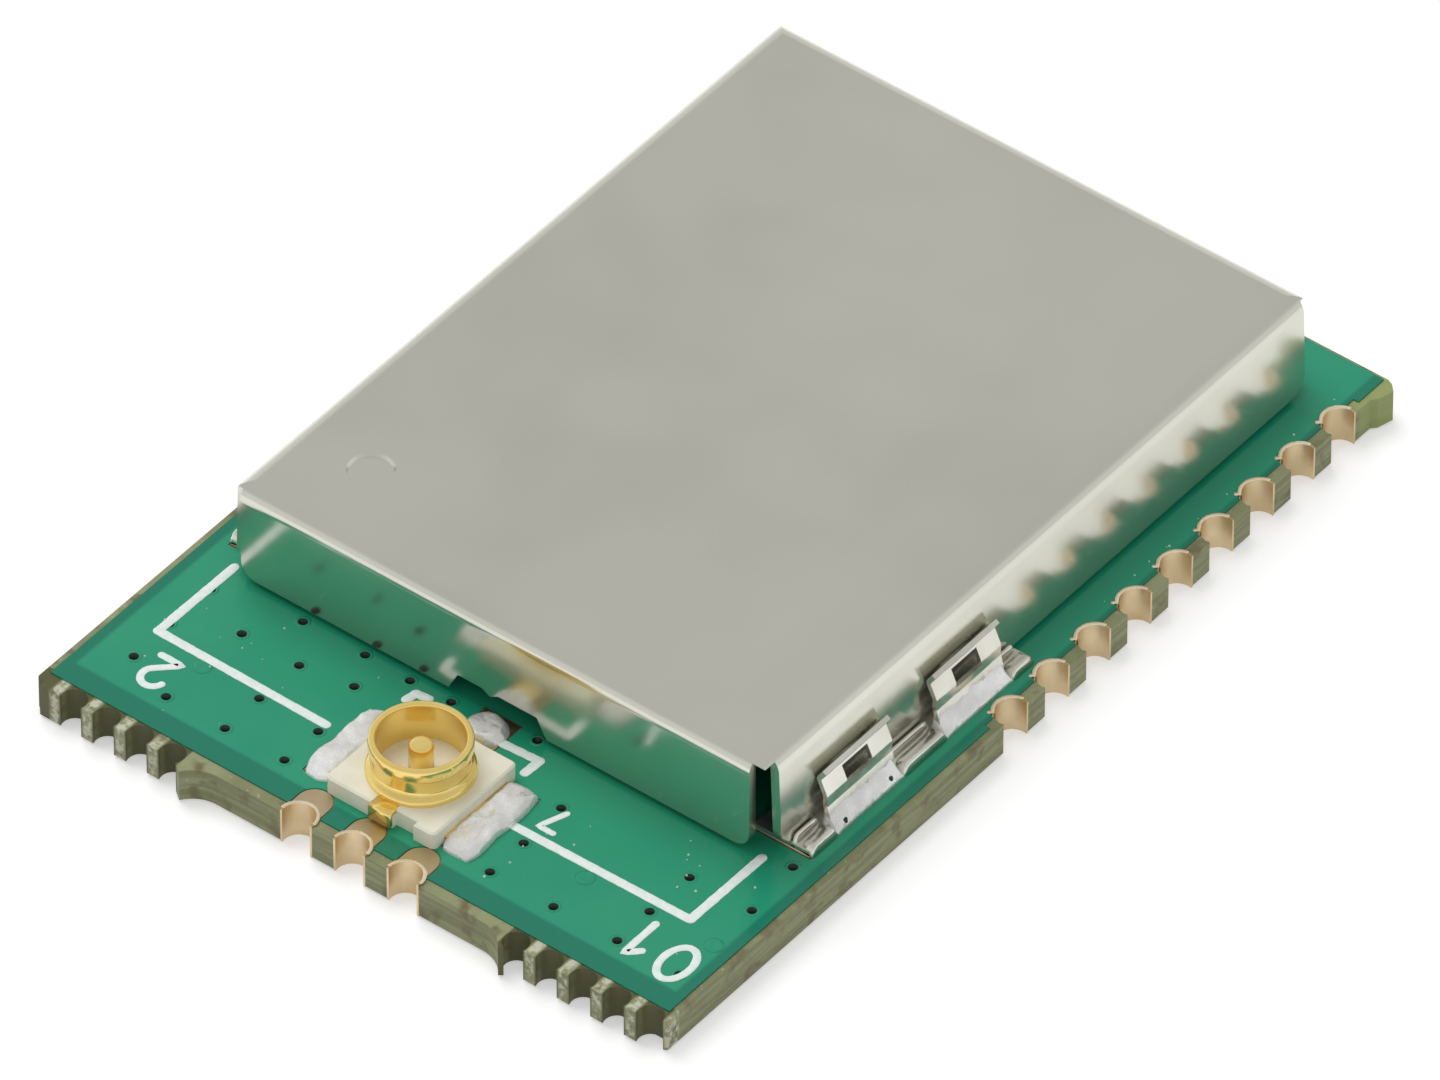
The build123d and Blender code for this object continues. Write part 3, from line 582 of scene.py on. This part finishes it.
# Half holes: a lip round the top of each bore, coloured lighter than the plating as a painted highlight, on the long
# edges drawn out to a burr by the router
ROW_CENTRE, ROW_BACK, ROW_PITCH, ROW_COUNT = 7.42, 9.6, 1.27, 9
FRONT_CENTRE = -11.02
LIP_RADIUS, LIP_WIDTH, LIP_HEIGHT = 0.378, 0.076, 0.024
LIP_BASE = BOARD_TOP - 0.005
ROW_LIP, FRONT_LIP = (80, -46), (2, 178)  # first and last angle of a lip, in degrees
BURR = (0.315, -0.325)  # the burr's tip, from the bore's middle
ROW_SEED, FRONT_SEED = 40, 70
lips = Builder()
for k in range(ROW_COUNT):
    middle = ROW_BACK - k * ROW_PITCH
    bend = arc(-ROW_CENTRE, middle, LIP_RADIUS, LIP_RADIUS, *ROW_LIP)
    bend.append((-ROW_CENTRE + BURR[0], middle + BURR[1]))
    for side in (-1, 1):
        stroke(lips, [(-side * x, y) for x, y in bend], LIP_WIDTH, LIP_BASE, LIP_HEIGHT, ROW_SEED + 2 * k + side)
for k in (-1, 0, 1):
    points = arc(k * ROW_PITCH, FRONT_CENTRE, LIP_RADIUS, LIP_RADIUS, *FRONT_LIP)
    stroke(lips, points, LIP_WIDTH, LIP_BASE, LIP_HEIGHT, FRONT_SEED + k)
# The lips take the lighter copper: a painted highlight along each bore's rim
make_piece("bore_lips_painted_highlight", lips, "plated_copper", LIP_METAL_PAINTED_HIGHLIGHT)


# Receptacle: ring with a rolled rim, flange, wings and folded tab; pin on its tail
RECEPTACLE_Y = -8.95
RING_SIDES, PIN_SIDES = 128, 64
CONTACT_LOW, CONTACT_HIGH = 0.85, 0.95
WING_NEAR, WING_FAR, WING_HALF = 1.0, 1.86, 0.92
TAB_LEFT, TAB_RIGHT = -0.19, 0.31
TAIL_HALF, TAIL_START, TAIL_END, TAIL_HEIGHT = 0.25, 0.2, -7.15, 0.1
RING_PROFILE = [
    (0.85, 0.85), (0.85, 1.98), (0.858, 2.015), (0.88, 2.042), (0.912, 2.052), (0.95, 2.048), (0.98, 2.03),
    (0.996, 2.0), (1.0, 1.96), (1.0, 1.8), (0.99, 1.77), (0.965, 1.745), (0.94, 1.72), (0.93, 1.69),
    (0.93, 1.46), (0.935, 1.42), (0.96, 1.38), (1.0, 1.35), (1.035, 1.32), (1.055, 1.29), (1.06, 1.25), (1.06, 0.85),
]  # fmt: skip
TAB_SECTION = [
    (-9.9, 1.2), (-10.22, 1.2), (-10.26, 1.193), (-10.287, 1.17), (-10.298, 1.13), (-10.299, 0.86),
    (-10.2, 0.86), (-10.2, 1.1), (-9.9, 1.1),
]  # fmt: skip
PIN_PROFILE = [
    (0.2425, 0.8), (0.2425, 1.78), (0.235, 1.82), (0.21, 1.86), (0.17, 1.885), (0.1, 1.897), (0.0, 1.9),
]  # fmt: skip
ring = Builder()
lathe(ring, RING_PROFILE, (0, RECEPTACLE_Y), RING_SIDES)
for side in (-1, 1):
    left, right = sorted((side * WING_NEAR, side * WING_FAR))
    box(ring, (left, RECEPTACLE_Y - WING_HALF, CONTACT_LOW), (right, RECEPTACLE_Y + WING_HALF, CONTACT_HIGH))
strap(ring, TAB_SECTION, TAB_LEFT, TAB_RIGHT)
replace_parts(make_piece("coax_ring", ring, "gold"), "receptacle_outer_contact")

pin = Builder()
lathe(pin, PIN_PROFILE, (0, RECEPTACLE_Y), PIN_SIDES, closed=False)
box(pin, (-TAIL_HALF, RECEPTACLE_Y + TAIL_START, BOARD_TOP), (TAIL_HALF, TAIL_END, BOARD_TOP + TAIL_HEIGHT))
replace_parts(make_piece("coax_pin", pin, "gold"), "receptacle_centre_contact")


# Solder: uneven mounds that flow over the wings and the tail
MOUND_SPACING, MOUND_SINK = 0.04, 0.01
MOUND_SHARES = (0.0, 0.02, 0.06, 0.12, 0.2, 0.3, 0.4, 0.5, 0.6, 0.7, 0.8, 0.9, 0.97)
MOUND_SHOULDER = 0.3  # share of the way to the middle at which a mound is at its full height
LUMPS_FULL = 0.125  # and the share at which its lumps are


def lumpiness(spot, finer):
    """Smooth noise at a spot, with half as much of a finer noise."""
    return noise.noise(spot) + 0.5 * noise.noise(spot * finer)


def mound(builder, outline, height, seed, lumps, grain, fullness):
    """A closed mound over an outline, with a rounded edge and lumps about grain mm wide."""
    edge = resample(outline, MOUND_SPACING, True)
    count = len(edge)
    smooth = [(edge[i - 1] + edge[i] * 2 + edge[(i + 1) % count]) / 4 for i in range(count)]
    centre = sum(smooth, Vector((0, 0))) / count
    rings = [[(p.x, p.y, BOARD_TOP - MOUND_SINK) for p in smooth]]
    for share in MOUND_SHARES:
        ring = []
        for p in smooth:
            q = p.lerp(centre, share)
            rise = height * min(1.0, share / MOUND_SHOULDER) ** fullness if share else 0.0
            bump = lumpiness(Vector((q.x, q.y, seed)) / grain, 2.3)
            ring.append((q.x, q.y, BOARD_TOP + max(0.0, rise + lumps * bump * min(1.0, share / LUMPS_FULL))))
        rings.append(ring)
    builder.rings(rings, cap_start=True, cap_end=True)


RIGHT_WING = [
    (1.31, -9.9), (1.31, -7.9), (1.7, -7.86), (1.98, -7.92), (2.05, -8.4), (2.04, -8.84), (2.0, -9.2),
    (2.03, -9.48), (2.05, -9.8), (1.98, -10.08), (1.6, -10.1), (1.4, -10.08),
]  # fmt: skip
LEFT_WING = [
    (-1.36, -9.96), (-1.6, -10.08), (-1.9, -10.05), (-2.02, -9.8), (-2.06, -9.57), (-2.0, -9.1),
    (-2.04, -8.6), (-1.98, -8.0), (-1.7, -7.86), (-1.42, -7.88), (-1.36, -8.1),
]  # fmt: skip
BLOB = [(0.03 + x, -7.06 + y) for x, y in arc(0, 0, 0.47, 0.44, 0, 330, 11)]
wings, tail = Builder(), Builder()
for outline, seed in ((RIGHT_WING, 3.1), (LEFT_WING, 7.7)):
    mound(wings, outline, height=0.21, seed=seed, lumps=0.05, grain=0.26, fullness=0.3)
mound(tail, BLOB, height=0.19, seed=5.5, lumps=0.02, grain=0.2, fullness=0.7)
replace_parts(make_piece("wing_solder", wings, "solder"), "ground_solder")
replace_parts(make_piece("tail_solder", tail, "solder"), "signal_solder")


# Clips: each frame's window belongs right under the pinch line, so the CAD one is filled and cut anew higher up
CLIP_MIDDLE = -0.015  # x of the plane that the two clips mirror each other in
FRAME_SPANS = ((-5.22, -3.26), (-1.91, 0.05))
FRAME_X, FRAME_SHEET = 6.6327, 0.1
WINDOW_HALF = 0.38
OPENING_LOW, OPENING_HIGH, OPENING_REACH = 1.5, 1.9, 0.3
FILLING_LOW, FILLING_HIGH, FILLING_LAP = 1.33, 1.56, 0.02


def window_block(builder, side, middle, reach, half, low, high):
    """A block across a frame's sheet, reach to each side of it, about the window's middle."""
    inner, outer = sorted(CLIP_MIDDLE + side * (FRAME_X + way * reach) for way in (-1, 1))
    box(builder, (inner, middle - half, low), (outer, middle + half, high))


for side, hand in ((1, "right"), (-1, "left")):
    filling, opening = Builder(), Builder()
    for start, end in FRAME_SPANS:
        middle = (start + end) / 2
        window_block(filling, side, middle, FRAME_SHEET / 2, WINDOW_HALF + FILLING_LAP, FILLING_LOW, FILLING_HIGH)
        window_block(opening, side, middle, OPENING_REACH, WINDOW_HALF, OPENING_LOW, OPENING_HIGH)
    filler, cutter = mesh_object("window_filling", filling), mesh_object("window_opening", opening)
    pierced("shield_clip_" + hand, "clip_" + hand, "clip_metal", cutter, filler)
    bpy.data.objects.remove(filler)
    bpy.data.objects.remove(cutter)


# Clips: solder that climbs to the frames' feet, a bead along the wall, and a raised outer edge between the frames
OPEN_SPANS = ((-6.03, -5.24), (-3.24, -1.93), (0.07, 0.7))
FILLET_BEFORE, FILLET_AFTER = 0.06, 0.05
RUN_SPACING, RUN_GRAIN = 0.05, 0.16
RUN_FADE, END_SHARE = 3, 0.25  # rings over which a run rises to its height, and its share at the end
SIDEWAYS, LUMP_START = 0.4, 0.05  # share of a lump that goes sideways, and height at which lumps are full
# Relief holes in the clips' bases, drawn as closed dark discs of painted shade
RELIEF_HOLES = ((6.83, -4.94), (6.82, -3.55), (6.84, -2.12))
RELIEF_SIDES = 16

# Closed (x, z) sections of the three, and the (radius, z) profile of a relief hole
FILLET = [
    (6.58, 0.8), (6.58, 1.2), (6.64, 1.24), (6.7, 1.2), (6.76, 1.12), (6.82, 1.03), (6.88, 0.95), (6.93, 0.87),
    (6.95, 0.8),
]  # fmt: skip
BEAD = [(6.45, 0.93), (6.45, 1.06), (6.465, 1.09), (6.49, 1.1), (6.515, 1.08), (6.53, 1.04), (6.53, 0.93)]
LIP = [(6.68, 0.93), (6.68, 1.02), (6.8, 1.035), (6.88, 1.045), (6.92, 1.03), (6.94, 0.99), (6.95, 0.82), (6.88, 0.82)]
RELIEF_PROFILE = [(0.0, 0.99), (0.05, 0.985), (0.075, 0.96), (0.085, 0.9), (0.085, 0.8)]


def run_of(builder, section, side, low, high, seed, lumps):
    """A closed (x, z) section drawn along y, lower at both ends and with lumps that fade towards the board."""
    count = max(3, round((high - low) / RUN_SPACING))
    rings = []
    for k in range(count + 1):
        y = low + (high - low) * k / count
        fade = min(1.0, min(k, count - k) / RUN_FADE + END_SHARE)
        ring = []
        for x, z in section:
            bump = lumpiness(Vector((x, y, seed)) / RUN_GRAIN, 2.1)
            lift = (z - BOARD_TOP) * fade + lumps * bump * min(1.0, (z - BOARD_TOP) / LUMP_START)
            ring.append((CLIP_MIDDLE + side * (x - CLIP_MIDDLE + SIDEWAYS * lumps * bump), y, BOARD_TOP + lift))
        rings.append(ring)
    builder.rings(rings, cap_start=True, cap_end=True)


fillets, trims, reliefs = Builder(), Builder(), Builder()
for side in (-1, 1):
    for index, (low, high) in enumerate(FRAME_SPANS):
        run_of(fillets, FILLET, side, low - FILLET_BEFORE, high + FILLET_AFTER, seed=3.0 * index + side, lumps=0.035)
    for index, (low, high) in enumerate(OPEN_SPANS):
        run_of(trims, BEAD, side, low, high, seed=11.0 + index, lumps=0.003)
        run_of(trims, LIP, side, low, high, seed=17.0 + index, lumps=0.006)
    for x, y in RELIEF_HOLES:
        lathe(reliefs, RELIEF_PROFILE, (CLIP_MIDDLE + side * (x - CLIP_MIDDLE), y), RELIEF_SIDES, closed=False)
make_piece("clip_fillets", fillets, "solder")
make_piece("clip_edges", trims, "clip_metal")
# The relief discs take the dark well material, which is painted shade
make_piece("clip_reliefs_painted_shade", reliefs, "solder", PAINTED_SHADE_WELL)


# Dust and flux specks on the lacquer: at the front, clear of the receptacle, and beside the can
FRONT_SPECKS, FRONT_X, FRONT_Y, FRONT_RADIUS = 46, (-7.0, 7.0), (-10.6, -6.9), (0.012, 0.032)
SIDE_SPECKS, SIDE_X, SIDE_Y, SIDE_RADIUS = 26, (6.95, 7.0), (1.4, 10.6), (0.012, 0.035)
RECEPTACLE_CLEAR = 2.4
SPECK_SIDES, SPECK_SINK, SPECK_SEED = 8, 0.005, 41


def speck(place, r):
    """One small dome of radius r."""
    profile = [(0.0, BOARD_TOP + r), (r * 0.7, BOARD_TOP + 0.7 * r), (r, BOARD_TOP), (r, BOARD_TOP - SPECK_SINK)]
    lathe(specks, profile, place, SPECK_SIDES, closed=False)


specks = Builder()
speck_rng = random.Random(SPECK_SEED)
for _ in range(FRONT_SPECKS):
    place = (speck_rng.uniform(*FRONT_X), speck_rng.uniform(*FRONT_Y))
    if abs(place[0]) >= RECEPTACLE_CLEAR:
        speck(place, speck_rng.uniform(*FRONT_RADIUS))
for _ in range(SIDE_SPECKS):
    place = (speck_rng.choice((-1, 1)) * speck_rng.uniform(*SIDE_X), speck_rng.uniform(*SIDE_Y))
    speck(place, speck_rng.uniform(*SIDE_RADIUS))
make_piece("dust_specks", specks, "ink", SPECK)


# Floor and world: white where a camera, glossy or transmission ray sees them, with the object's shadow on the floor
FLOOR_HALF, FLOOR_DROP = 1.5, 0.00002  # in metres
FLOOR_TONE, FLOOR_GLOW = 0.74, 0.43
SOFT_LIGHT = 0.62  # the world's strength for diffuse rays

# The light tent is pale near the horizon and greyer above, which flat and upright metal show
TENT_TOP = 0.74
TENT_PALE, TENT_GREY = math.sin(math.radians(20)), math.sin(math.radians(38))


def seeing_ray(tree):
    """A socket that is 1 for camera, glossy and transmission rays, and 0 for others."""
    path = tree.nodes.new("ShaderNodeLightPath")
    seen = path.outputs["Is Camera Ray"]
    for kind in ("Is Glossy Ray", "Is Transmission Ray"):
        either = tree.nodes.new("ShaderNodeMath")
        either.operation = "MAXIMUM"
        tree.links.new(seen, either.inputs[0])
        tree.links.new(path.outputs[kind], either.inputs[1])
        seen = either.outputs[0]
    return seen


def floor_material():
    """Pale floor that shows as white and keeps the object's shadow."""
    mat = bpy.data.materials.new("floor")
    mat.use_nodes = True
    tree = mat.node_tree
    tree.nodes.clear()
    out = tree.nodes.new("ShaderNodeOutputMaterial")
    add = tree.nodes.new("ShaderNodeAddShader")
    diffuse = tree.nodes.new("ShaderNodeBsdfDiffuse")
    diffuse.inputs["Color"].default_value = (FLOOR_TONE, FLOOR_TONE, FLOOR_TONE, 1)
    glow = tree.nodes.new("ShaderNodeEmission")
    scaled = tree.nodes.new("ShaderNodeMath")
    scaled.operation = "MULTIPLY"
    scaled.inputs[1].default_value = FLOOR_GLOW
    tree.links.new(seeing_ray(tree), scaled.inputs[0])
    tree.links.new(scaled.outputs[0], glow.inputs["Strength"])
    tree.links.new(diffuse.outputs[0], add.inputs[0])
    tree.links.new(glow.outputs[0], add.inputs[1])
    tree.links.new(add.outputs[0], out.inputs["Surface"])
    return mat


floor_mesh = bpy.data.meshes.new("floor")
floor_corners = [(x * FLOOR_HALF, y * FLOOR_HALF, -FLOOR_DROP) for x, y in ((-1, -1), (1, -1), (1, 1), (-1, 1))]
floor_mesh.from_pydata(floor_corners, [], [(0, 1, 2, 3)])
floor = bpy.data.objects.new("floor", floor_mesh)
bpy.context.scene.collection.objects.link(floor)
dress(floor, floor_material())

world = bpy.data.worlds.new("studio")
bpy.context.scene.world = world
world.use_nodes = True
sky = world.node_tree
sky.nodes.clear()
sky_out = sky.nodes.new("ShaderNodeOutputWorld")
background = sky.nodes.new("ShaderNodeBackground")
direction = sky.nodes.new("ShaderNodeTexCoord")
split = sky.nodes.new("ShaderNodeSeparateXYZ")
tone = sky.nodes.new("ShaderNodeMapRange")
tone.interpolation_type = "SMOOTHSTEP"
tone.inputs["From Min"].default_value = TENT_GREY
tone.inputs["From Max"].default_value = TENT_PALE
tone.inputs["To Min"].default_value = TENT_TOP
tone.inputs["To Max"].default_value = 1.0
strength = sky.nodes.new("ShaderNodeMapRange")
strength.inputs["To Min"].default_value = SOFT_LIGHT
sky.links.new(direction.outputs["Generated"], split.inputs["Vector"])
sky.links.new(split.outputs["Z"], tone.inputs["Value"])
sky.links.new(tone.outputs[0], strength.inputs["To Max"])
sky.links.new(seeing_ray(sky), strength.inputs["Value"])
sky.links.new(strength.outputs[0], background.inputs["Strength"])
sky.links.new(background.outputs[0], sky_out.inputs["Surface"])


def area_light(name, place, size, power):
    """A soft square light that faces the object and isn't mirrored in it."""
    data = bpy.data.lights.new(name, "AREA")
    data.shape = "SQUARE"
    data.size = size
    data.energy = power
    obj = bpy.data.objects.new(name, data)
    bpy.context.scene.collection.objects.link(obj)
    obj.location = place
    obj.rotation_mode = "QUATERNION"
    obj.rotation_quaternion = Vector(place).to_track_quat("Z", "Y")
    obj.visible_glossy = False


# The lamps, with place and size in metres and power in watts, light what is matt: metal mirrors the tent alone
area_light("key", (-0.16, 0.05, 0.34), size=0.22, power=0.62)
area_light("fill", (0.25, -0.2, 0.2), size=0.2, power=0.1)

# Camera
right = Vector((math.cos(AZIMUTH), math.sin(AZIMUTH), 0))
back = Vector((math.sin(AZIMUTH) * math.cos(ELEVATION), -math.cos(AZIMUTH) * math.cos(ELEVATION), math.sin(ELEVATION)))
up = back.cross(right)
offset_x = (CENTRE_X - IMAGE_WIDTH / 2) / PIXELS_PER_MM
offset_y = -(CENTRE_Y - IMAGE_HEIGHT / 2) / PIXELS_PER_MM
camera_data = bpy.data.cameras.new("camera")
camera_data.sensor_fit = "HORIZONTAL"
camera_data.sensor_width = SENSOR
camera_data.lens = SENSOR * PIXELS_PER_MM * DISTANCE / IMAGE_WIDTH
camera_data.clip_start = 0.01
camera_data.clip_end = 10
camera = bpy.data.objects.new("camera", camera_data)
bpy.context.scene.collection.objects.link(camera)
camera.matrix_world = Matrix(
    (
        (right.x, up.x, back.x, 0),
        (right.y, up.y, back.y, 0),
        (right.z, up.z, back.z, 0),
        (0, 0, 0, 1),
    )
)
camera.location = (back * DISTANCE - right * offset_x - up * offset_y) * MM
bpy.context.scene.camera = camera
bpy.context.scene.view_settings.view_transform = "Standard"
